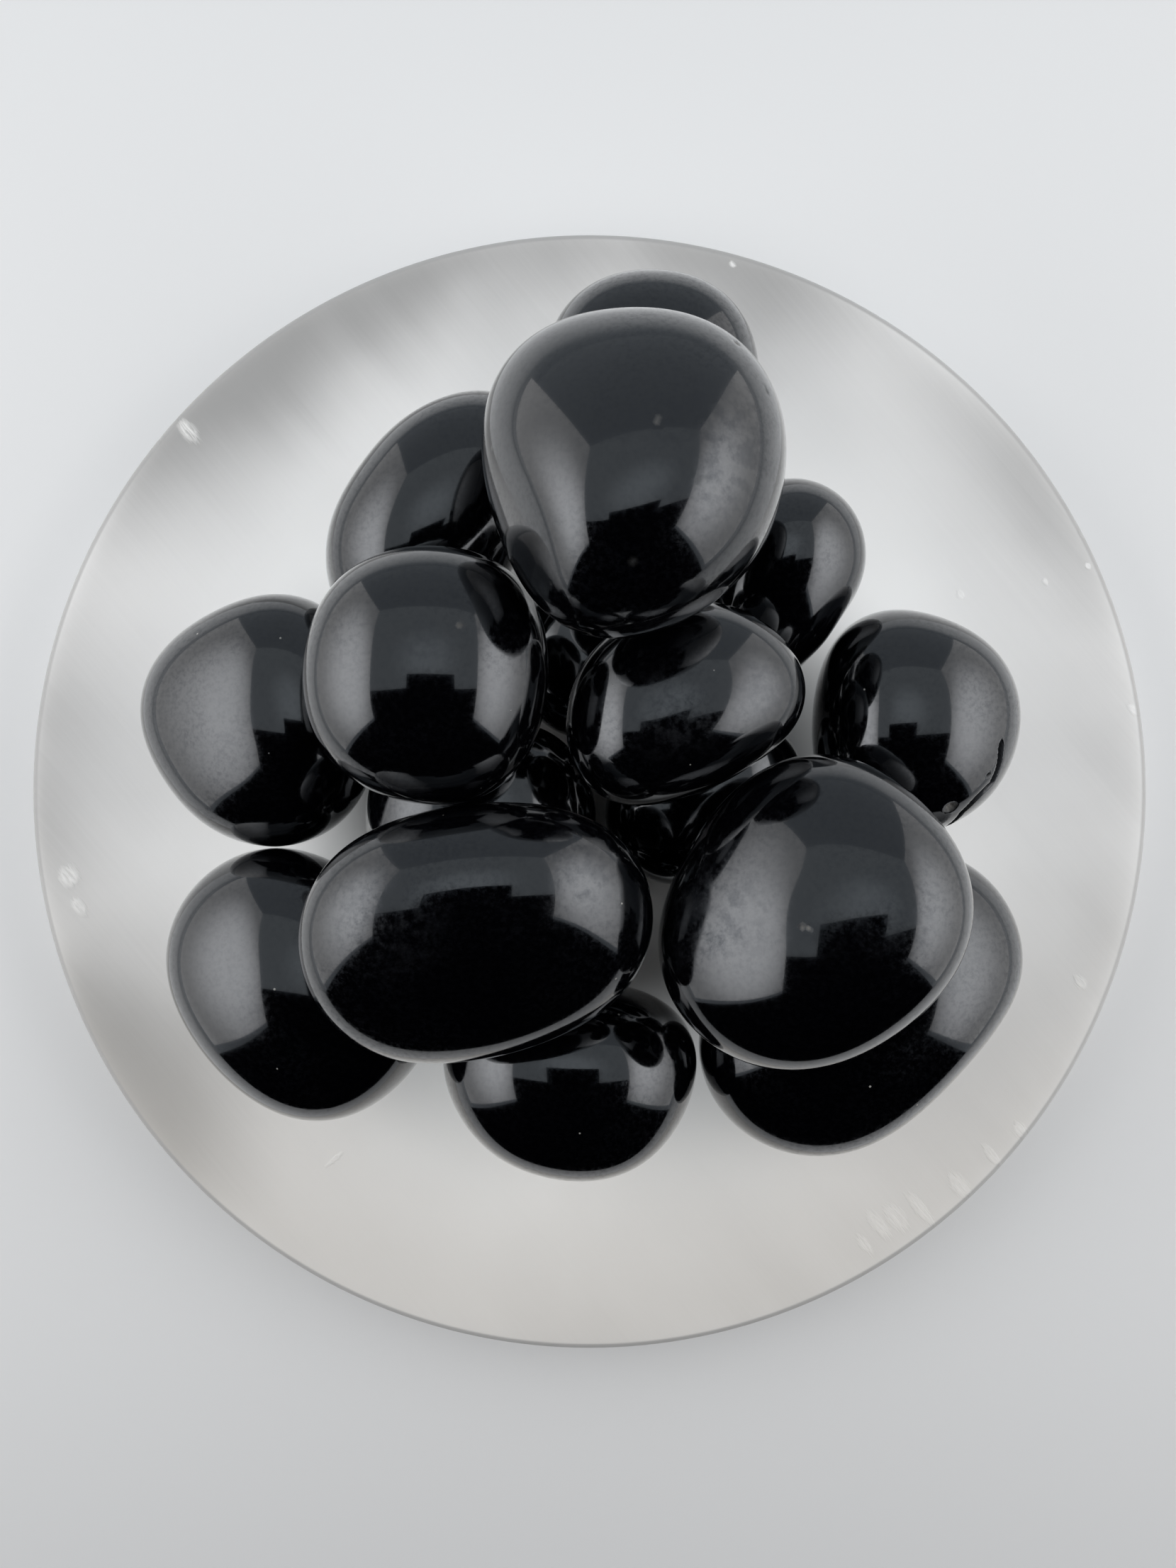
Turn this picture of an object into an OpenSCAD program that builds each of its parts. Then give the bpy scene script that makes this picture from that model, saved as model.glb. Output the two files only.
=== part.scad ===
// A loose pile of sixteen polished stones on a round plate.
// Origin: middle of the plate's underside, +Z up, +Y to the back.
// Every stone is a solid of its own. The ring and the inner stones stand on the plate,
// the upper stones lie in the hollows between them, and one stone tops the pile.

/* [Plate] */
// Diameter of the plate
plate_d = 100; // [92:1:150]
// Thickness of the plate
plate_t = 10; // [6:0.5:20]
// Radius of the softened rim, top and bottom
plate_rim_r = 0.5; // [0.5:0.25:2.5]

/* [Pile] */
// Size of the whole pile of stones, as a share of full size
pile_scale = 1; // [0.8:0.05:1.1]
// Air left under each stone that stands on the plate
rest_gap = 0.15; // [0.1:0.05:0.3]
// Squares along each side of the grid that a stone's skin is built on
skin_steps = 8; // [5:1:9]

/* [Back stone] */
// Length, width and height
back_size = [18, 18, 15]; // [8:0.25:32]
// Place of its middle, to the right and to the back
back_place = [5, 33.5]; // [-45:0.25:45]
// Roll, pitch and upright turn in degrees
back_turn = [0, 5, 0]; // [-180:5:180]

/* [Back left stone] */
// Length, width and height
back_left_size = [23, 14.5, 16]; // [8:0.25:32]
// Place of its middle, to the right and to the back
back_left_place = [-12.5, 22.5]; // [-45:0.25:45]
// Roll, pitch and upright turn in degrees
back_left_turn = [0, 0, 55]; // [-180:5:180]

/* [Left stone] */
// Length, width and height
left_size = [20.5, 19.5, 13.5]; // [8:0.25:32]
// Place of its middle, to the right and to the back
left_place = [-27, 5.5]; // [-45:0.25:45]
// Roll, pitch and upright turn in degrees
left_turn = [-15, 5, 110]; // [-180:5:180]

/* [Front left stone] */
// Length, width and height
front_left_size = [23.5, 19, 15.5]; // [8:0.25:32]
// Place of its middle, to the right and to the back
front_left_place = [-23.75, -15.5]; // [-45:0.25:45]
// Roll, pitch and upright turn in degrees
front_left_turn = [0, 5, 135]; // [-180:5:180]

/* [Front stone] */
// Length, width and height
front_size = [20.5, 16, 15.5]; // [8:0.25:32]
// Place of its middle, to the right and to the back
front_place = [-1.75, -23.5]; // [-45:0.25:45]
// Roll, pitch and upright turn in degrees
front_turn = [0, 0, -5]; // [-180:5:180]

/* [Front right stone] */
// Length, width and height
front_right_size = [29, 20, 15]; // [8:0.25:32]
// Place of its middle, to the right and to the back
front_right_place = [22.5, -17.5]; // [-45:0.25:45]
// Roll, pitch and upright turn in degrees
front_right_turn = [-5, 0, 40]; // [-180:5:180]

/* [Right stone] */
// Length, width and height
right_size = [16.5, 18.5, 15]; // [8:0.25:32]
// Place of its middle, to the right and to the back
right_place = [26.75, 5.5]; // [-45:0.25:45]
// Roll, pitch and upright turn in degrees
right_turn = [0, -5, -5]; // [-180:5:180]

/* [Back right stone] */
// Length, width and height
back_right_size = [19.75, 11.25, 12.25]; // [8:0.25:32]
// Place of its middle, to the right and to the back
back_right_place = [15.25, 16.25]; // [-45:0.25:45]
// Roll, pitch and upright turn in degrees
back_right_turn = [15, -15, 65]; // [-180:5:180]

/* [Inner left stone] */
// Length, width and height
inner_left_size = [19, 16.5, 14]; // [8:0.25:32]
// Place of its middle, to the right and to the back
inner_left_place = [-9, -2]; // [-45:0.25:45]
// Roll, pitch and upright turn in degrees
inner_left_turn = [0, 0, 0]; // [-180:5:180]

/* [Inner right stone] */
// Length, width and height
inner_right_size = [17.5, 13, 9.5]; // [8:0.25:32]
// Place of its middle, to the right and to the back
inner_right_place = [9.75, -0.5]; // [-45:0.25:45]
// Roll, pitch and upright turn in degrees
inner_right_turn = [0, 0, 30]; // [-180:5:180]

/* [Inner back stone] */
// Length, width and height
inner_back_size = [14.5, 13.5, 9]; // [8:0.25:32]
// Place of its middle, to the right and to the back
inner_back_place = [0.75, 11.5]; // [-45:0.25:45]
// Roll, pitch and upright turn in degrees
inner_back_turn = [0, 0, 20]; // [-180:5:180]

/* [Upper left stone] */
// Length, width and height
upper_left_size = [17.5, 18.5, 14]; // [8:0.25:32]
// Place of its middle, to the right, to the back and up from the plate's top
upper_left_place = [-11.75, 8.5, 19.75]; // [-45:0.25:45]
// Roll, pitch and upright turn in degrees
upper_left_turn = [0, 5, -5]; // [-180:5:180]

/* [Upper front left stone] */
// Length, width and height
upper_front_left_size = [25.5, 19, 13]; // [8:0.25:32]
// Place of its middle, to the right, to the back and up from the plate's top
upper_front_left_place = [-8, -10, 19.5]; // [-45:0.25:45]
// Roll, pitch and upright turn in degrees
upper_front_left_turn = [20, 5, 10]; // [-180:5:180]

/* [Upper front right stone] */
// Length, width and height
upper_front_right_size = [23.25, 20.5, 13]; // [8:0.25:32]
// Place of its middle, to the right, to the back and up from the plate's top
upper_front_right_place = [15.75, -9, 19.25]; // [-45:0.25:45]
// Roll, pitch and upright turn in degrees
upper_front_right_turn = [-25, -5, 50]; // [-180:5:180]

/* [Upper middle stone] */
// Length, width and height
upper_middle_size = [18.25, 14, 12]; // [8:0.25:32]
// Place of its middle, to the right, to the back and up from the plate's top
upper_middle_place = [6.75, 7, 16.25]; // [-45:0.25:45]
// Roll, pitch and upright turn in degrees
upper_middle_turn = [-10, 5, 25]; // [-180:5:180]

/* [Top stone] */
// Length, width and height
top_size = [22.75, 20.5, 17]; // [8:0.25:32]
// Place of its middle, to the right, to the back and up from the plate's top
top_place = [3, 21.75, 24.75]; // [-45:0.25:45]
// Roll, pitch and upright turn in degrees
top_turn = [-10, 25, 95]; // [-180:5:180]

/* [Hidden] */

// Colours of the polished stones and of the plate
stone_black = [0.05, 0.05, 0.06];
plate_white = [0.86, 0.85, 0.84];

// How square a stone's section is: 2 is an ellipse, more is squarer
stone_power = 2.25;

// Share of the taper along a stone that its height takes part in
height_taper = 0.5;

// Six sides of the cube that the skin's grid starts on: outward way, and the two ways across
CUBE_SIDES = [
    [[1, 0, 0], [0, 1, 0], [0, 0, 1]],
    [[-1, 0, 0], [0, 0, 1], [0, 1, 0]],
    [[0, 1, 0], [0, 0, 1], [1, 0, 0]],
    [[0, -1, 0], [1, 0, 0], [0, 0, 1]],
    [[0, 0, 1], [1, 0, 0], [0, 1, 0]],
    [[0, 0, -1], [0, 1, 0], [1, 0, 0]]
];

// Step i of n across a cube side, spread so that the skin's squares come out even
function spread(i, n) = tan(45 * (2 * i / n - 1));

// Every whole grid point on the surface of a cube of n squares a side, each once
function cube_points(n) = [
    for (i = [0:n], j = [0:n], k = [0:n])
        if (i == 0 || i == n || j == 0 || j == n || k == 0 || k == n)
            [i, j, k]
];

// Place in that list of the point at i, j, k
function cube_index(i, j, k, n) =
    i == 0 ? j * (n + 1) + k
    : i == n ? (n + 1) * (n + 1) + (n - 1) * 4 * n + j * (n + 1) + k
    : (n + 1) * (n + 1) + (i - 1) * 4 * n + layer_index(j, k, n);

// Place of j, k within one hollow layer of that list
function layer_index(j, k, n) =
    j == 0 ? k
    : j == n ? (n + 1) + (n - 1) * 2 + k
    : (n + 1) + (j - 1) * 2 + (k == 0 ? 0 : 1);

// Corner number of side s at step u, v
function corner(s, u, v, n) =
    let (at = [for (a = [0:2]) s[0][a] != 0 ? (s[0][a] > 0 ? n : 0) : s[1][a] * u + s[2][a] * v])
    cube_index(at[0], at[1], at[2], n);

// Two triangles for each square of the skin
function skin_faces(n) = [
    for (s = CUBE_SIDES, u = [0:n - 1], v = [0:n - 1])
        let (
            a = corner(s, u, v, n),
            b = corner(s, u + 1, v, n),
            c = corner(s, u + 1, v + 1, n),
            d = corner(s, u, v + 1, n)
        )
        each [[a, c, b], [a, d, c]]
];

// Distance at which the way d leaves a rounded block of the given power
function block_norm(d, power) =
    pow(pow(abs(d[0]), power) + pow(abs(d[1]), power) + pow(abs(d[2]), power), 1 / power);

// One point of a stone's skin: a rounded block, tapered along its length and its width
function stone_point(d, size, taper, power) =
    let (
        p = d / block_norm(d, power),
        along = 1 - taper[0] * p[0],
        across = 1 - taper[1] * p[1]
    )
    [
        size[0] / 2 * p[0] * across,
        size[1] / 2 * p[1] * along,
        size[2] / 2 * p[2] * (1 - height_taper * taper[0] * p[0])
    ];

// All the points of a stone's skin about its own middle
function stone_skin(size, taper, power, n) = [
    for (c = cube_points(n))
        let (d = [spread(c[0], n), spread(c[1], n), spread(c[2], n)])
        stone_point(d / norm(d), size, taper, power)
];

// Height of a point after the roll and pitch of its stone
function turned_height(p, turn) =
    let (up = p[1] * sin(turn[0]) + p[2] * cos(turn[0]))
    up * cos(turn[1]) - p[0] * sin(turn[1]);

// A stone at its place. A place without a height puts it down on the plate.
module stone(size, place, turn, taper = [0, 0], power = stone_power) {
    skin = stone_skin(size, taper, power, skin_steps);
    drop = -min([for (p = skin) turned_height(p, turn)]) + rest_gap / pile_scale;
    height = len(place) > 2 ? place[2] : drop;
    translate([0, 0, plate_t])
        scale(pile_scale)
            translate([place[0], place[1], height])
                rotate(turn)
                    polyhedron(points = skin, faces = skin_faces(skin_steps), convexity = 2);
}

// The plate: a round disc with a softened rim
module plate() {
    color(plate_white)
        rotate_extrude($fn = 96) {
            square([plate_d / 2 - plate_rim_r, plate_t]);
            translate([0, plate_rim_r])
                square([plate_d / 2, plate_t - 2 * plate_rim_r]);
            for (z = [plate_rim_r, plate_t - plate_rim_r])
                translate([plate_d / 2 - plate_rim_r, z])
                    circle(r = plate_rim_r, $fn = 32);
        }
}

module stone_back() {
    color(stone_black)
        stone(back_size, back_place, back_turn);
}

module stone_back_left() {
    color(stone_black)
        stone(back_left_size, back_left_place, back_left_turn, taper = [0.05, 0.1]);
}

module stone_left() {
    color(stone_black)
        stone(left_size, left_place, left_turn, taper = [-0.15, 0.05]);
}

module stone_front_left() {
    color(stone_black)
        stone(front_left_size, front_left_place, front_left_turn, taper = [0.05, 0]);
}

module stone_front() {
    color(stone_black)
        stone(front_size, front_place, front_turn, taper = [-0.05, -0.15]);
}

module stone_front_right() {
    color(stone_black)
        stone(front_right_size, front_right_place, front_right_turn, taper = [0, -0.05]);
}

module stone_right() {
    color(stone_black)
        stone(right_size, right_place, right_turn, taper = [0.15, -0.05]);
}

module stone_back_right() {
    color(stone_black)
        stone(back_right_size, back_right_place, back_right_turn, taper = [-0.3, -0.05]);
}

module stone_inner_left() {
    color(stone_black)
        stone(inner_left_size, inner_left_place, inner_left_turn);
}

module stone_inner_right() {
    color(stone_black)
        stone(inner_right_size, inner_right_place, inner_right_turn);
}

module stone_inner_back() {
    color(stone_black)
        stone(inner_back_size, inner_back_place, inner_back_turn);
}

module stone_upper_left() {
    color(stone_black)
        stone(upper_left_size, upper_left_place, upper_left_turn, taper = [-0.05, 0]);
}

module stone_upper_front_left() {
    color(stone_black)
        stone(
            upper_front_left_size, upper_front_left_place, upper_front_left_turn,
            taper = [0.05, 0]
        );
}

module stone_upper_front_right() {
    color(stone_black)
        stone(
            upper_front_right_size, upper_front_right_place, upper_front_right_turn,
            taper = [-0.1, -0.05]
        );
}

module stone_upper_middle() {
    color(stone_black)
        stone(upper_middle_size, upper_middle_place, upper_middle_turn, taper = [0, 0.15]);
}

module stone_top() {
    color(stone_black)
        stone(top_size, top_place, top_turn, taper = [-0.1, -0.15]);
}

plate();
stone_back();
stone_back_left();
stone_left();
stone_front_left();
stone_front();
stone_front_right();
stone_right();
stone_back_right();
stone_inner_left();
stone_inner_right();
stone_inner_back();
stone_upper_left();
stone_upper_front_left();
stone_upper_front_right();
stone_upper_middle();
stone_top();
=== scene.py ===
"""Looks for a pile of polished black stones on a round satin-spar plate.

All lengths are in metres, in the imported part's own frame: +Z up, origin under the plate.
"""

import math

import bmesh
import bpy
import numpy as np
from mathutils import Matrix, Vector
from mathutils.bvhtree import BVHTree


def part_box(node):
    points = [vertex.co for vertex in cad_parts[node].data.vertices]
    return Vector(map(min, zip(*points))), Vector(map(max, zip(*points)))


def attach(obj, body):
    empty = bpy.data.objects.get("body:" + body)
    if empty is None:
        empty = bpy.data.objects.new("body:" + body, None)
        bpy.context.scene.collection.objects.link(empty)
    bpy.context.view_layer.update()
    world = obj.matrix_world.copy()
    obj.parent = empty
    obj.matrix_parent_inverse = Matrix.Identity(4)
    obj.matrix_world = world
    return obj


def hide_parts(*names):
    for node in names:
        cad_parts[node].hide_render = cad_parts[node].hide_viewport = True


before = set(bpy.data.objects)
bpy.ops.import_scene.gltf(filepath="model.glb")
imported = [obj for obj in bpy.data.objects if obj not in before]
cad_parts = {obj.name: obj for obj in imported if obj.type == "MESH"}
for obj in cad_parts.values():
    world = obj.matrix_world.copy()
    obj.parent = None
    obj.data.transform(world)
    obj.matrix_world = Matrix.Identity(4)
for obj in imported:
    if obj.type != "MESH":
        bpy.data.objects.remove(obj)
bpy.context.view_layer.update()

MM = 0.001

PLATE_LOW, PLATE_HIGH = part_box("plate")
PLATE_TOP = PLATE_HIGH.z
PLATE_R = (PLATE_HIGH.x - PLATE_LOW.x) / 2
RIM_R = 0.5 * MM

# Direction that the plate's fibres run in, counter-clockwise from +X
FIBRE_TURN = math.radians(-50)

# Patches of painted shade near the plate's edge: x, y and reach in millimetres, and how dark
SHADE_PATCHES = (
    (-38, 35, 13, 0.7),
    (-27, 44, 12, 0.6),
    (-44, -28, 14, 0.9),
    (12, 50, 14, 0.65),
    (-10, 50, 12, 0.5),
    (-51, 2, 14, 0.35),
    (42, 28, 14, 0.3),
)

# Nicks in the plate's face: x, y, length along the fibres and width, in millimetres
NICKS = (
    (-35.9, 32.3, 3.0, 1.6),
    (-39.0, 32.1, 2.0, 2.0),
    (-46.6, -7.6, 2.4, 2.2),
    (-45.7, -10.3, 2.2, 1.2),
    (44.1, 23.0, 1.0, 0.5),
    (44.6, 20.2, 0.8, 0.6),
    (40.8, 18.8, 0.9, 0.5),
    (33.2, 17.6, 0.9, 0.7),
    (48.7, 7.3, 1.6, 0.8),
    (43.9, -17.1, 1.6, 1.1),
    (24.6, -40.6, 2.4, 1.0),
    (25.8, -38.8, 3.6, 1.3),
    (27.4, -38.2, 3.2, 1.8),
    (29.6, -37.4, 4.0, 1.2),
    (33.0, -35.2, 3.2, 1.6),
    (36.0, -32.6, 2.6, 1.0),
    (38.6, -30.4, 2.2, 1.2),
    (-30.6, 43.2, 0.9, 0.5),
    (12.8, 47.2, 0.9, 0.6),
    (-22.8, -32.9, 0.5, 2.6),
)


# ---------------------------------------------------------------- shader tools


class Wire:
    """One output of a shader node. Sums, differences and products of wires add Math nodes."""

    def __init__(self, finish, socket):
        self.finish = finish
        self.socket = socket

    def _maths(self, operation, *values):
        return self.finish.add("ShaderNodeMath", {"operation": operation}, dict(enumerate(values)))

    def __add__(self, other):
        return self._maths("ADD", self, other)

    def __radd__(self, other):
        return self._maths("ADD", other, self)

    def __sub__(self, other):
        return self._maths("SUBTRACT", self, other)

    def __rsub__(self, other):
        return self._maths("SUBTRACT", other, self)

    def __mul__(self, other):
        return self._maths("MULTIPLY", self, other)

    def __rmul__(self, other):
        return self._maths("MULTIPLY", other, self)


class Finish:
    """A material with one Principled surface, built node by node."""

    def __init__(self, name, **surface):
        self.material = bpy.data.materials.new(name)
        self.material.use_nodes = True
        self.tree = self.material.node_tree
        self.surface = next(n for n in self.tree.nodes if n.type == "BSDF_PRINCIPLED")
        for socket, value in surface.items():
            self.surface.inputs[socket.replace("_", " ")].default_value = value

    def add(self, kind, settings=None, sockets=None, out=0):
        """A node of this kind, with its settings made first and then its sockets."""
        node = self.tree.nodes.new(kind)
        for name, value in (settings or {}).items():
            setattr(node, name, value)
        for name, value in (sockets or {}).items():
            self.feed(node.inputs[name], value)
        return Wire(self, node.outputs[out])

    def feed(self, socket, value):
        if isinstance(value, Wire):
            self.tree.links.new(value.socket, socket)
        else:
            socket.default_value = value

    def set(self, socket, value):
        self.feed(self.surface.inputs[socket], value)

    def place(self):
        """Object coordinates in millimetres."""
        raw = self.add("ShaderNodeTexCoord", out="Object")
        return self.add("ShaderNodeVectorMath", {"operation": "SCALE"}, {0: raw, "Scale": 1000.0})

    def moved(self, vector, move=(0, 0, 0), turn=(0, 0, 0), stretch=(1, 1, 1)):
        """The vector with a place taken off, turned back and stretched."""
        sockets = {"Vector": vector, "Location": move, "Rotation": turn, "Scale": stretch}
        return self.add("ShaderNodeMapping", {"vector_type": "POINT"}, sockets)

    def noise(self, vector, scale, detail=2.0, rough=0.5, warp=0.0):
        sockets = {"Vector": vector, "Scale": scale, "Detail": detail, "Roughness": rough}
        sockets["Distortion"] = warp
        return self.add("ShaderNodeTexNoise", {}, sockets)

    def ease(self, value, low, high, start=0.0, end=1.0):
        """A smooth step of value from low to high, going from start to end."""
        sockets = {"Value": value, "From Min": low, "From Max": high}
        sockets["To Min"] = start
        sockets["To Max"] = end
        return self.add("ShaderNodeMapRange", {"interpolation_type": "SMOOTHSTEP"}, sockets)

    def blend(self, factor, first, second):
        """A colour between two colours."""
        node = {"data_type": "RGBA", "clamp_factor": True}
        return self.add("ShaderNodeMix", node, {0: factor, 6: first, 7: second}, out=2)

    def bump(self, height, strength, distance=0.0001, onto=None):
        sockets = {"Height": height, "Strength": strength, "Distance": distance}
        if onto is not None:
            sockets["Normal"] = onto
        return self.add("ShaderNodeBump", {}, sockets)


# ---------------------------------------------------------------- finishes


def polished_black():
    """Black glassy stone: a clear polish over a slightly dull one, mottled, with fine pits."""
    f = Finish("polished_black", IOR=1.52, Coat_Roughness=0.035, Coat_IOR=1.5)
    f.surface.inputs["Specular Tint"].default_value = (0.84, 0.91, 1.0, 1)
    at = f.place()
    broken = f.add("ShaderNodeAttribute", {"attribute_name": "broken"}, out="Fac")
    pale = f.add("ShaderNodeAttribute", {"attribute_name": "pale"}, out="Fac")
    dulled = f.add("ShaderNodeAttribute", {"attribute_name": "dulled"}, out="Fac")
    patch = f.ease(f.noise(at, 0.11, 3.0, 0.6, warp=0.5), 0.42, 0.7)
    grain = f.noise(at, 2.6, 4.0, 0.72)
    blotch = f.ease(f.noise(at, 0.9, 3.0, 0.65), 0.4, 0.62)
    dull = f.ease(grain, 0.4, 0.68) * (0.33 + 0.55 * patch) + dulled * blotch * 0.8
    spot = {"feature": "F1", "voronoi_dimensions": "3D"}
    cells = {"Vector": at, "Scale": 0.42, "Randomness": 1.0}
    gap = f.add("ShaderNodeTexVoronoi", spot, cells, out="Distance")
    tint = f.add("ShaderNodeTexVoronoi", spot, cells, out="Color")
    chance = f.add("ShaderNodeSeparateColor", {}, {"Color": tint}, out=0)
    speck = f.ease(gap, 0.045, 0.025) * f.ease(chance, 0.62, 0.66)
    body = f.blend(dull, (0.0006, 0.0006, 0.001, 1), (0.0028, 0.003, 0.0042, 1))
    rubbed = f.blend(dulled * blotch * grain, body, (0.012, 0.0125, 0.014, 1))
    chipped = f.blend(pale * (0.4 + grain), rubbed, (0.30, 0.29, 0.27, 1))
    f.set("Base Color", f.blend(speck * 0.8, chipped, (0.42, 0.41, 0.38, 1)))
    f.set("Roughness", 0.075 + dull * 0.16 + speck * 0.4 + broken * 0.9)
    f.set("Coat Weight", (0.9 - 0.6 * dull) * (1 - broken))
    ripple = f.noise(at, 0.28, 1.0)
    soft = f.bump(ripple, 0.1, 0.00012)
    fine = f.bump(grain, 0.03 + broken * 0.6, 0.00006, onto=soft)
    f.set("Normal", f.bump(speck, 0.4, 0.00005, onto=fine))
    return f.material


def satin_spar():
    """Pale milky fibrous stone with a satin sawn face, painted shade towards its edges and a
    painted glow around the pile.
    """
    f = Finish("satin_spar", IOR=1.5, Subsurface_Weight=0.5, Subsurface_Scale=0.004)
    f.surface.inputs["Subsurface Radius"].default_value = (1.0, 0.98, 0.95)
    # Strength of the painted glow on the plate
    f.surface.inputs["Emission Strength"].default_value = 0.44
    at = f.place()
    flat = f.add("ShaderNodeVectorMath", {"operation": "MULTIPLY"}, {0: at, 1: (1, 1, 0)})
    along = f.moved(at, turn=(0, 0, -FIBRE_TURN))
    fine = f.noise(f.moved(along, stretch=(0.05, 2.6, 1.0)), 1.0, 3.0, 0.65)
    broad = f.noise(f.moved(along, stretch=(0.02, 0.16, 0.2)), 1.0, 2.0, 0.5)
    cloud = f.noise(at, 0.05, 2.0, 0.5, warp=0.3)
    radius = f.add("ShaderNodeVectorMath", {"operation": "LENGTH"}, {0: flat}, out="Value")

    def soft_spot(x, y, inner, outer):
        away = {"operation": "DISTANCE"}
        off = f.add("ShaderNodeVectorMath", away, {0: flat, 1: (x, y, 0)}, out="Value")
        return f.ease(off + 8 * (broad - 0.5), outer, inner)

    # Painted shade: a darker ring towards the plate's edge and darker patches at the listed
    # places, over the spar's own cloudy fibre grain
    shade_and_grain = 0.22 * f.ease(radius + 8 * (cloud - 0.5), 42, 51)
    for x, y, reach, depth in SHADE_PATCHES:
        shade_and_grain = shade_and_grain + depth * soft_spot(x, y, 2, reach + 6)
    shade_and_grain = shade_and_grain + 0.35 * (broad - 0.5) + 0.1 * (fine - 0.5) + 0.25 * (cloud - 0.5)
    shaded_spar_tone = f.blend(f.ease(shade_and_grain, -0.1, 1.0), (0.81, 0.81, 0.807, 1), (0.33, 0.33, 0.328, 1))

    # Splintered white nicks in the top face, long along the fibres
    height = f.add("ShaderNodeSeparateXYZ", {}, {0: at}, out="Z")
    splinters = f.noise(f.moved(along, stretch=(0.5, 4.0, 1.0)), 1.0, 3.0, 0.7)
    nick = None
    for x, y, length, width in NICKS:
        mid = Matrix.Rotation(-FIBRE_TURN, 3, "Z") @ Vector((x, y, 0))
        size = (2 / length, 2 / width, 0)
        spot = f.moved(along, move=[-m * k for m, k in zip(mid, size)], stretch=size)
        off = f.add("ShaderNodeVectorMath", {"operation": "LENGTH"}, {0: spot}, out="Value")
        here = f.ease(off + 1.6 * (splinters - 0.5), 1.05, 0.55)
        nick = here if nick is None else nick + here
    nick = nick * f.ease(height, 9.3, 9.8)
    streak = f.ease(splinters, 0.35, 0.62, 0.25, 1.0)
    nicked = f.blend(nick * streak * 0.8, shaded_spar_tone, (0.92, 0.92, 0.915, 1))

    across = f.add("ShaderNodeSeparateXYZ", {}, {0: at}, out="Y")
    warm = f.ease(across, 5.0, -45.0)
    warmed = f.blend(warm * 0.45, nicked, (0.66, 0.62, 0.56, 1))
    # Painted shade: a thin dark line along the top rim, over the bevel's highlight
    rim_shade_line = f.ease(radius, 49.35, 49.6) * f.ease(height, 9.45, 9.65)
    f.set("Base Color", f.blend(rim_shade_line * 0.8, warmed, (0.3, 0.3, 0.3, 1)))

    # Painted glow standing in for light let through the plate: cut to nothing under the pile as
    # painted shade, strongest just outside it
    outer = f.ease(radius + 6 * (cloud - 0.5), 48, 18)
    painted_glow = f.blend(outer, (0.16, 0.16, 0.16, 1), (0.96, 0.99, 1.0, 1))
    # Painted shade under the pile: the glow fades to nothing inside it
    inner = f.ease(radius, 16, 30)
    f.set("Emission Color", f.blend(inner, (0.0, 0.0, 0.0, 1), painted_glow))
    f.set("Roughness", 0.42 + 0.18 * fine)
    rough = f.bump(fine, 0.08, 0.0001)
    f.set("Normal", f.bump(splinters * nick, 0.5, 0.0002, onto=rough))
    return f.material


def pale_floor():
    """A plain matt white table top."""
    f = Finish("pale_floor", Roughness=0.7)
    f.set("Base Color", (0.84, 0.85, 0.86, 1))
    return f.material


# ---------------------------------------------------------------- shapes


def finish_piece(name, mesh_builder, finish, body, smooth=True):
    """Turns a bmesh into a piece at the origin that rides on a body."""
    mesh = bpy.data.meshes.new(name)
    mesh_builder.to_mesh(mesh)
    mesh_builder.free()
    if smooth:
        mesh.polygons.foreach_set("use_smooth", [True] * len(mesh.polygons))
    mesh.materials.append(finish)
    piece = bpy.data.objects.new(name, mesh)
    bpy.context.collection.objects.link(piece)
    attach(piece, body)
    return piece


def shape_terms(ways):
    """Smooth basis on the sphere: every product of powers that sum to 5 or 6."""
    x, y, z = ways.T
    terms = []
    for total in (5, 6):
        for i in range(total + 1):
            for j in range(total + 1 - i):
                terms.append(x**i * y**j * z ** (total - i - j))
    return np.stack(terms, axis=1)


def smooth_skin(node):
    """Middle of a stone and a function that gives its smooth radius along unit ways."""
    low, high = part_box(node)
    middle = (low + high) / 2
    probe = bmesh.new()
    probe.from_mesh(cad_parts[node].data)
    bmesh.ops.remove_doubles(probe, verts=probe.verts, dist=1e-6)
    tree = BVHTree.FromBMesh(probe)
    probe.free()
    ball = bmesh.new()
    bmesh.ops.create_icosphere(ball, subdivisions=4, radius=1.0)
    ways = [v.co.normalized() for v in ball.verts]
    ball.free()
    reach = np.array([tree.ray_cast(middle, w)[3] for w in ways])
    ways = np.array([tuple(w) for w in ways])
    weights = np.linalg.lstsq(shape_terms(ways), reach, rcond=None)[0]
    return np.array(middle), lambda some: shape_terms(some) @ weights


def press_flat(points, way, share, softness=0.3 * MM, firmness=0.85):
    """Presses the part of a stone that lies past a plane towards it, with a soft edge."""
    way = np.array(way, float) / np.linalg.norm(way)
    reach = points @ way
    plane = reach.max() * share
    past = softness * np.logaddexp(0, (reach - plane) / softness)
    return points - np.outer(past * firmness, way)


def line_distance(points, line):
    """Distance of each point from a bent line, and the share of the way along it."""
    ends = np.array(line)
    steps = np.linalg.norm(np.diff(ends, axis=0), axis=1)
    start = np.concatenate(([0], np.cumsum(steps)))
    best = np.full(len(points), np.inf)
    share = np.zeros(len(points))
    for i, (a, b) in enumerate(zip(ends[:-1], ends[1:])):
        part = np.clip((points - a) @ (b - a) / steps[i] ** 2, 0, 1)
        away = np.linalg.norm(points - a - part[:, None] * (b - a), axis=1)
        near = away < best
        best[near] = away[near]
        share[near] = (start[i] + part[near] * steps[i]) / start[-1]
    return best, share


def dip(distance, width):
    """One in the middle of a mark, falling smoothly to nothing at its width."""
    return np.clip(1 - (distance / width) ** 2, 0, 1) ** 1.5


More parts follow.
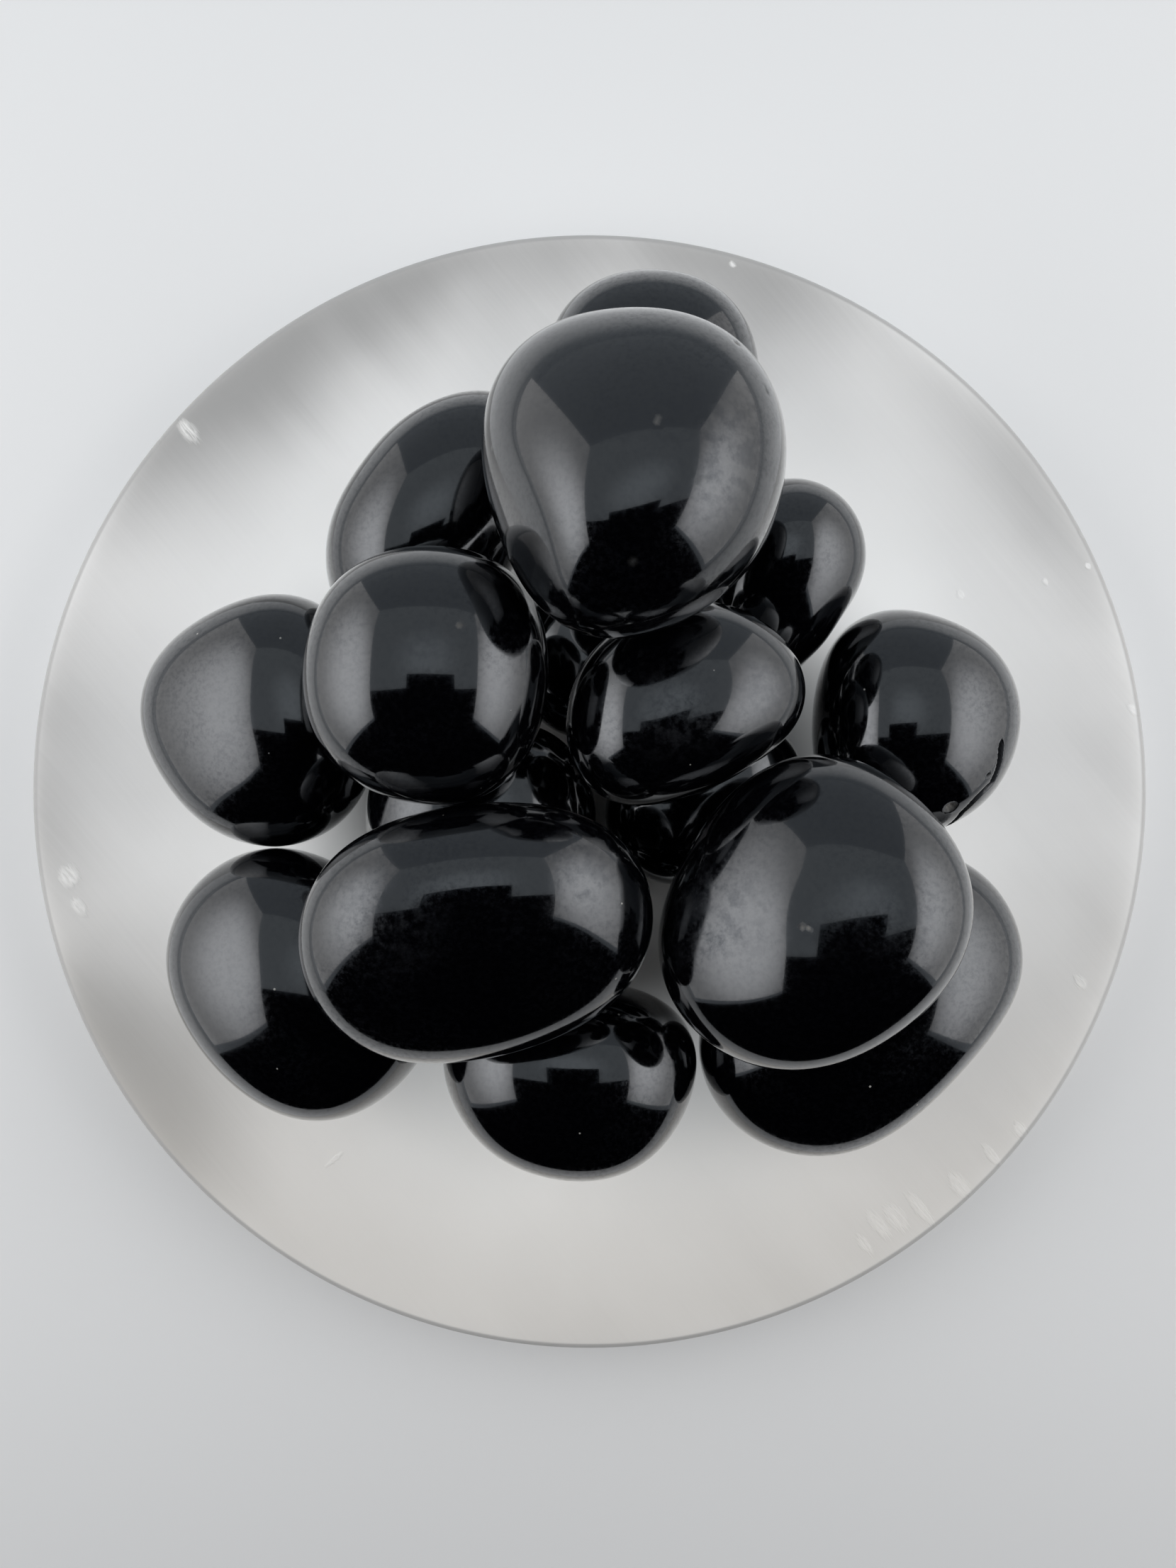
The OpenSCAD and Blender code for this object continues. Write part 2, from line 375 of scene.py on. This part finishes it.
class Skin:
    """A stone's points, with the worn marks that are pressed into them."""

    def __init__(self, builder, points, middle):
        self.points = points
        self.middle = middle
        self.outward = points / np.linalg.norm(points, axis=1)[:, None]
        self.marks = {name: np.zeros(len(points)) for name in ("broken", "pale", "dulled")}
        for vert, point in zip(builder.verts, points):
            vert.co = point
        self.tree = BVHTree.FromBMesh(builder)

    def on_skin(self, spot):
        """Point of the skin that is nearest to a spot given in millimetres."""
        return np.array(self.tree.find_nearest(Vector(spot) * MM - Vector(self.middle))[0])

    def press(self, depth):
        self.points = self.points - self.outward * depth[:, None]

    def mark(self, name, amount):
        self.marks[name] = np.clip(np.maximum(self.marks[name], amount), 0, 1)

    def crack(self, spots, width, depth):
        """A dark split with a bright lip on its inner side."""
        line = [self.on_skin(spot) for spot in spots]
        away, share = line_distance(self.points, line)
        wide = width * (1.15 - 0.45 * share) * np.clip(share * 12 + 0.25, 0, 1)
        self.press(depth * dip(away, wide))
        self.mark("broken", dip(away, wide * 1.2) * 1.6)
        inner = np.linalg.norm(self.points[:, :2], axis=1) < np.interp(
            share, [0, 1], [np.linalg.norm(line[0][:2]), np.linalg.norm(line[-1][:2])]
        )
        lip = dip(away - wide * 1.6, wide * 0.8) * inner * (away > wide)
        self.mark("pale", 0.3 * lip * share)

    def pit(self, spot, width, depth, pale=0.0):
        """A small broken hollow."""
        away = np.linalg.norm(self.points - self.on_skin(spot), axis=1)
        lumps = 1 + 0.35 * np.sin(9 * self.points @ np.array([1.0, 0.7, 0.4]) / width)
        self.press(depth * dip(away, width) * lumps)
        self.mark("broken", dip(away, width * 1.1) * 1.8)
        self.mark("pale", pale * dip(away, width) * lumps)

    def haze(self, spot, width, amount):
        """A rubbed, mottled patch."""
        away = np.linalg.norm(self.points - self.on_skin(spot), axis=1)
        self.mark("dulled", amount * np.clip(1.6 * (1 - away / width), 0, 1))


def make_stone(node, body, finish, flats=(), marks=(), fineness=6):
    """A tumbled stone with a flawless skin over its CAD solid, and a few worn marks."""
    middle, radius = smooth_skin(node)
    ball = bmesh.new()
    bmesh.ops.create_icosphere(ball, subdivisions=fineness, radius=1.0)
    ways = np.array([tuple(v.co.normalized()) for v in ball.verts])
    points = ways * radius(ways)[:, None]
    for flat in flats:
        points = press_flat(points, *flat)
    skin = Skin(ball, points, middle)
    for kind, *values in marks:
        getattr(skin, kind)(*values)
    for vert, point in zip(ball.verts, skin.points + middle):
        vert.co = point
    piece = finish_piece(node.replace("stone", "pebble"), ball, finish, body)
    for name, amount in skin.marks.items():
        layer = piece.data.attributes.new(name, "FLOAT", "POINT")
        layer.data.foreach_set("value", amount)
    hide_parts(node)
    return piece


def make_plate(finish):
    """The round plate: a disc with softened top and bottom edges."""
    disc = bmesh.new()
    bmesh.ops.create_circle(disc, cap_ends=True, segments=256, radius=PLATE_R)
    grown = bmesh.ops.extrude_face_region(disc, geom=disc.faces[:])
    top = [v for v in grown["geom"] if isinstance(v, bmesh.types.BMVert)]
    bmesh.ops.translate(disc, verts=top, vec=(0, 0, PLATE_TOP))
    bmesh.ops.recalc_face_normals(disc, faces=disc.faces)
    edges = [e for e in disc.edges if abs(e.verts[0].co.z - e.verts[1].co.z) < 1e-6]
    bmesh.ops.bevel(
        disc, geom=edges, offset=RIM_R, segments=4, profile=0.5, affect="EDGES", material=-1
    )
    piece = finish_piece("spar_plate", disc, finish, "base", smooth=False)
    for face in piece.data.polygons:
        face.use_smooth = len(face.vertices) < 5
    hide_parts("plate")
    return piece


# ---------------------------------------------------------------- the object

BLACK = polished_black()
SPAR = satin_spar()

make_plate(SPAR)

# Body that each stone rides on
STONES = {
    "stone_back": "back",
    "stone_back_left": "back_left",
    "stone_left": "left",
    "stone_front_left": "front_left",
    "stone_front": "front",
    "stone_front_right": "front_right",
    "stone_right": "right",
    "stone_back_right": "back_right",
    "stone_inner_left": "base",
    "stone_inner_right": "base",
    "stone_inner_back": "base",
    "stone_upper_left": "upper_left",
    "stone_upper_front_left": "upper_front_left",
    "stone_upper_front_right": "upper_front_right",
    "stone_upper_middle": "upper_middle",
    "stone_top": "top",
}

# Worn flats: outward way, share of the reach that is kept, softness of the edge
FLATS = {
    "stone_top": [((-0.86, -0.28, 0.42), 0.9, 0.45 * MM)],
    "stone_front_right": [((0.72, -0.62, 0.3), 0.95, 1.0 * MM)],
}

# Worn marks, with their spots in millimetres in the part's frame
CRACK = (
    (31.9, 4.1, 23.6),
    (32.0, 3.2, 23.4),
    (32.0, 2.3, 23.1),
    (31.8, 1.7, 22.8),
    (31.5, 0.8, 22.5),
    (30.9, 0.1, 22.6),
    (30.2, -0.6, 22.4),
    (29.5, -1.6, 21.8),
    (29.0, -2.6, 20.0),
)
MARKS = {
    "stone_right": [
        ("crack", CRACK, 0.34 * MM, 0.5 * MM),
        ("pit", (31.0, 1.4, 23.3), 0.25 * MM, 0.2 * MM),
        ("pit", (28.2, -1.2, 22.9), 0.6 * MM, 0.3 * MM, 0.8),
    ],
    "stone_upper_left": [
        ("pit", (-8.6, 11.3, 36.1), 0.25 * MM, 0.12 * MM, 0.5),
        ("haze", (-10.9, 9.6, 36.7), 2.5 * MM, 0.6),
    ],
    "stone_top": [
        ("haze", (8.0, 21.0, 43.0), 6.0 * MM, 1.0),
        ("haze", (2.0, 22.2, 43.4), 2.5 * MM, 0.4),
        ("pit", (4.0, 22.5, 43.5), 0.2 * MM, 0.1 * MM, 0.7),
        ("pit", (6.7, 19.0, 43.5), 0.22 * MM, 0.1 * MM, 0.5),
        ("pit", (2.6, 14.3, 42.8), 0.2 * MM, 0.1 * MM, 0.4),
        ("pit", (9.4, 29.0, 38.8), 0.25 * MM, 0.08 * MM, 0.5),
        ("pit", (11.2, 25.8, 39.4), 0.25 * MM, 0.08 * MM, 0.4),
    ],
    "stone_upper_front_right": [
        ("haze", (8.5, -8.4, 32.5), 5.5 * MM, 0.9),
        ("haze", (14.8, -8.9, 36.0), 2.5 * MM, 0.6),
        ("haze", (20.4, -7.9, 36.9), 4.0 * MM, 0.5),
        ("pit", (14.2, -8.9, 35.7), 0.25 * MM, 0.08 * MM, 0.7),
        ("pit", (14.6, -9.0, 35.9), 0.2 * MM, 0.06 * MM, 0.6),
    ],
    "stone_upper_front_left": [
        ("haze", (-13.7, -7.9, 36.6), 5.0 * MM, 0.6),
        ("haze", (-0.6, -5.3, 34.6), 4.0 * MM, 0.7),
    ],
    "stone_upper_middle": [
        ("haze", (5.8, 5.7, 32.4), 4.0 * MM, 0.8),
        ("haze", (13.0, 8.0, 30.8), 4.0 * MM, 0.6),
    ],
}
for node, body in STONES.items():
    fineness = 7 if node == "stone_right" else 6
    make_stone(node, body, BLACK, FLATS.get(node, ()), MARKS.get(node, ()), fineness)


# ---------------------------------------------------------------- floor, lights and camera


QUARTER = math.pi / 2
CARD_TURNS = (Matrix.Rotation(QUARTER, 4, "Y"), Matrix.Rotation(QUARTER, 4, "X"), Matrix())


def flat_card(name, middle, size, surface):
    """A flat studio card that lights and reflects but stays out of the camera's own view."""
    card = bmesh.new()
    bmesh.ops.create_grid(card, x_segments=1, y_segments=1, size=0.5)
    turn = CARD_TURNS[size.index(0)]
    spread = Matrix.Diagonal([length or 1 for length in size] + [1])
    bmesh.ops.transform(card, matrix=Matrix.Translation(middle) @ spread @ turn, verts=card.verts)
    mesh = bpy.data.meshes.new(name)
    card.to_mesh(mesh)
    card.free()
    mesh.materials.append(surface)
    panel = bpy.data.objects.new(name, mesh)
    panel.visible_camera = False
    bpy.context.collection.objects.link(panel)
    return panel


def glowing(name, dim, bright, heart, spread, tint):
    """A glowing card: dim all over, brighter around its heart (millimetres)."""
    f = Finish(name, Roughness=1.0, IOR=1.0)
    f.set("Base Color", (0, 0, 0, 1))
    f.surface.inputs["Emission Strength"].default_value = bright
    place = [-h / s for h, s in zip(heart, spread)]
    reach = f.moved(f.place(), move=place, stretch=[1 / s for s in spread])
    away = f.add("ShaderNodeVectorMath", {"operation": "LENGTH"}, {0: reach}, out="Value")
    low = [c * dim / bright for c in tint]
    f.set("Emission Color", f.blend(f.ease(away, 1.0, 0.1), (*low, 1), (*tint, 1)))
    return f.material


def dead_black(name):
    f = Finish(name, Roughness=1.0, IOR=1.0)
    f.set("Base Color", (0, 0, 0, 1))
    return f.material


TABLE_R = 4.0
ground = bmesh.new()
bmesh.ops.create_circle(ground, cap_ends=True, segments=64, radius=TABLE_R)
floor_mesh = bpy.data.meshes.new("table_top")
ground.to_mesh(floor_mesh)
ground.free()
floor_mesh.materials.append(pale_floor())
table_top = bpy.data.objects.new("table_top", floor_mesh)
bpy.context.collection.objects.link(table_top)

# Two glowing walls and a roof, with black flags over the front of the room
WHITE = (1.0, 0.99, 0.985)
COOL = (0.9, 0.96, 1.0)
left_glow = glowing("left_glow", 1.0, 3.4, (-160, 10, 165), (1000, 190, 155), WHITE)
right_glow = glowing("right_glow", 1.0, 3.2, (160, 10, 165), (1000, 190, 155), WHITE)
top_glow = glowing("top_glow", 0.6, 0.95, (0, 50, 270), (110, 90, 1000), COOL)
flat_card("left_wall", (-0.16, 0.05, 0.141), (0, 0.32, 0.258), left_glow)
flat_card("right_wall", (0.16, 0.05, 0.141), (0, 0.32, 0.258), right_glow)
flat_card("roof", (0, 0.095, 0.27), (0.32, 0.23, 0), top_glow)
BLACK_CARD = dead_black("black_card")
flat_card("front_flag", (0, -0.12, 0.14), (0.32, 0, 0.28), BLACK_CARD)
flat_card("roof_flag", (0, -0.07, 0.27), (0.32, 0.1, 0), BLACK_CARD)
flat_card("near_flag", (0, -0.06, 0.15), (0.062, 0.14, 0), BLACK_CARD)

world = bpy.data.worlds.new("dim_room")
world.use_nodes = True
world.node_tree.nodes["Background"].inputs["Color"].default_value = (0.86, 0.93, 1.0, 1)
world.node_tree.nodes["Background"].inputs["Strength"].default_value = 0.42
bpy.context.scene.world = world

camera_data = bpy.data.cameras.new("overhead_camera")
camera_data.lens = 26
camera_data.sensor_width = 36
camera_data.clip_start = 0.01
camera = bpy.data.objects.new("overhead_camera", camera_data)
camera.location = Vector((-0.14, 0.67, 101.4)) * MM + Vector((0, 0, PLATE_TOP))
bpy.context.collection.objects.link(camera)
bpy.context.scene.camera = camera
bpy.context.scene.view_settings.view_transform = "Standard"
bpy.context.scene.view_settings.look = "None"
